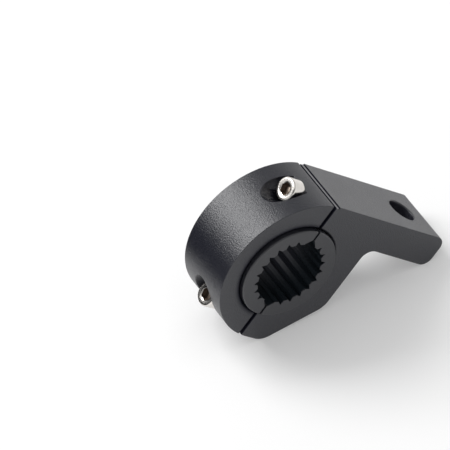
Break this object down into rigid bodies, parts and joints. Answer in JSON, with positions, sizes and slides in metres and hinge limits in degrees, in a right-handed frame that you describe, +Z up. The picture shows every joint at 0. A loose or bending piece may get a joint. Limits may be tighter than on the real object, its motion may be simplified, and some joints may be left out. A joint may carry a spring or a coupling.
{
  "type": "headlight mounting bracket",
  "caption": "Tube clamp bracket for a motorbike lamp: black split ring with a ribbed rubber insert, socket-head clamp screws and a straight drilled arm.",
  "frame": {"origin": "centre of the clamped tube, on its axis and halfway along the bracket's width", "axes": "+Z up with the bracket lying on a flat surface, +Y along the clamped tube's axis, +X towards the tip of the arm, which slopes down to the surface by 44.5 degrees"},
  "size_m": [0.0727, 0.0224, 0.0462],
  "materials": {
    "anodised_aluminium": "bead-blasted, black anodised, matt",
    "rubber": "moulded, matt black",
    "stainless_steel": "bright, turned"
  },
  "bodies": {
    "root": {"bracket_body": "anodised_aluminium", "clamp_cap": "anodised_aluminium", "body_insert": "rubber", "cap_insert": "rubber", "upper_screw": "stainless_steel", "lower_screw": "stainless_steel"}
  },
  "joints": []
}
